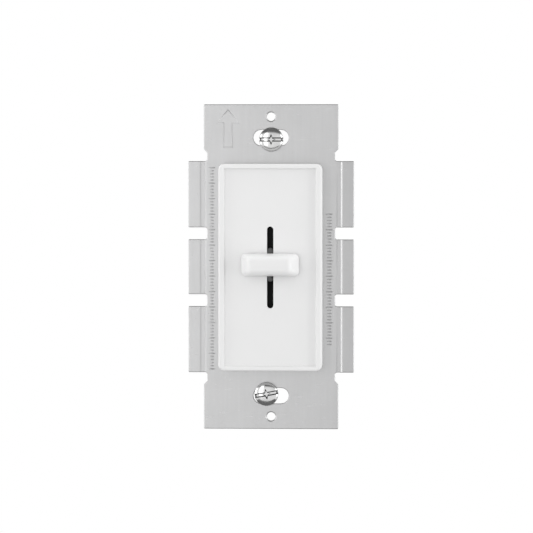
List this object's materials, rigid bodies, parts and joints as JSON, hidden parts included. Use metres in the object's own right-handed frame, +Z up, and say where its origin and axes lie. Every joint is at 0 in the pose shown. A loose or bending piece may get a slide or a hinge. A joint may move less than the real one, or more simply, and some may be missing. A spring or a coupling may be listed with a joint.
{
  "type": "slide dimmer switch",
  "caption": "Wall-box slide dimmer: finned metal mounting strap, white face cover with an upright slot and sliding knob, rear housing with side terminals and earth lug.",
  "frame": {"origin": "middle of the mounting strap's rear face, which rests on the wall", "axes": "+Z up the strap, +Y into the wall box, so the face looks towards -Y and +X is to the right seen from the front"},
  "size_m": [0.0536, 0.0449, 0.1048],
  "materials": {
    "satin_aluminium": "satin",
    "white_plastic": "satin moulded",
    "grey_plastic": "moulded",
    "black_plastic": "moulded",
    "bright_steel": "bright zinc",
    "green_steel": "green dye",
    "brass": "bright",
    "bronze": "spring strip",
    "copper": "lacquered wire",
    "tinned_steel": "tinned",
    "grey_fibre": "pressed fibre",
    "board_laminate": "paper laminate",
    "carbon_film": "printed carbon",
    "ferrite": "pressed powder",
    "capacitor_case": "moulded",
    "resistor_lacquer": "lacquer",
    "diac_glass": "coated bead"
  },
  "bodies": {
    "device": {"mounting_strap": "satin_aluminium", "face_cover": "white_plastic", "pot_cover": "tinned_steel", "pot_base": "board_laminate", "resistance_track": "carbon_film", "collector_track": "tinned_steel", "switch_rail_line": "brass", "switch_rail_load": "brass", "insulating_sheet": "grey_fibre", "circuit_board": "board_laminate", "triac": "black_plastic", "triac_pad": "grey_fibre", "triac_rivet": "tinned_steel", "choke_core": "ferrite", "choke_winding": "copper", "filter_capacitor": "capacitor_case", "timing_capacitor": "capacitor_case", "timing_resistor": "resistor_lacquer", "snubber_resistor": "resistor_lacquer", "diac": "diac_glass", "rear_housing": "black_plastic", "line_terminal": "brass", "line_terminal_screw": "brass", "load_terminal": "brass", "load_terminal_screw": "brass", "earth_lug": "tinned_steel", "earth_screw": "green_steel", "case_screw_upper_left": "bright_steel", "case_screw_upper_right": "bright_steel", "case_screw_lower_left": "bright_steel", "case_screw_lower_right": "bright_steel"},
    "slider": {"slider_knob": "white_plastic", "slider_lever": "grey_plastic", "dust_shutter": "black_plastic", "pot_carriage": "black_plastic", "wiper_spring": "bronze", "switch_bridge": "bronze"},
    "upper_washer": {"upper_retaining_washer": "grey_fibre"},
    "upper_screw": {"upper_mounting_screw": "bright_steel"},
    "lower_washer": {"lower_retaining_washer": "grey_fibre"},
    "lower_screw": {"lower_mounting_screw": "bright_steel"}
  },
  "joints": [
    {"name": "slider_travel", "type": "slide", "parent": "device", "child": "slider", "axis": [0, 0, 1], "range_m": [-0.00836, 0.00664]},
    {"name": "upper_screw_shift", "type": "slide", "parent": "device", "child": "upper_washer", "axis": [1, 0, 0], "range_m": [-0.0032, 0.003]},
    {"name": "upper_screw_turn", "type": "hinge", "parent": "upper_washer", "child": "upper_screw", "pos_m": [0.0001, 0, 0.04107], "axis": [0, 1, 0], "continuous": true},
    {"name": "lower_screw_shift", "type": "slide", "parent": "device", "child": "lower_washer", "axis": [1, 0, 0], "range_m": [-0.00165, 0.00455]},
    {"name": "lower_screw_turn", "type": "hinge", "parent": "lower_washer", "child": "lower_screw", "pos_m": [-0.00145, 0, -0.04102], "axis": [0, 1, 0], "continuous": true}
  ]
}
